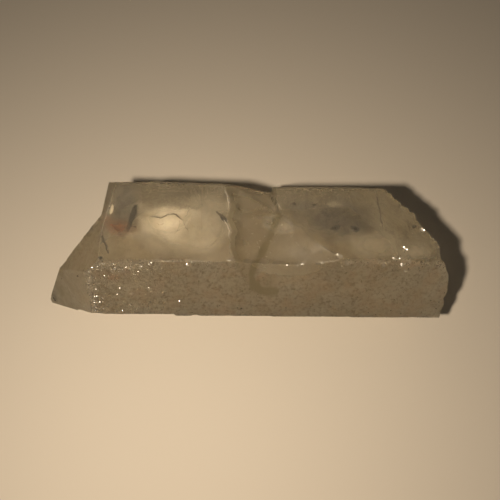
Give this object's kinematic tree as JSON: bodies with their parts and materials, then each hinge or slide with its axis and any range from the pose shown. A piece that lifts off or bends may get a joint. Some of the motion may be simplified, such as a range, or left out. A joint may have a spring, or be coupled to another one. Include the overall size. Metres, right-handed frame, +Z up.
{
  "type": "quartz crystal",
  "caption": "Clear to slightly smoky quartz point, a natural six-sided prism with an oblique tip, a shell-shaped scar and a broken end, lying on a prism face.",
  "frame": {"origin": "bottom centre of the crystal's box, on the plane of the prism face it rests on", "axes": "+X along the long axis from the tip to the broken end, +Y towards the back, +Z up"},
  "size_m": [0.0766, 0.029, 0.022],
  "materials": {
    "quartz": "see-through grey-olive quartz, glossy and slightly cloudy, with one etched face, inner veils and rough broken surfaces"
  },
  "bodies": {
    "root": {"quartz_crystal": "quartz"}
  },
  "joints": []
}
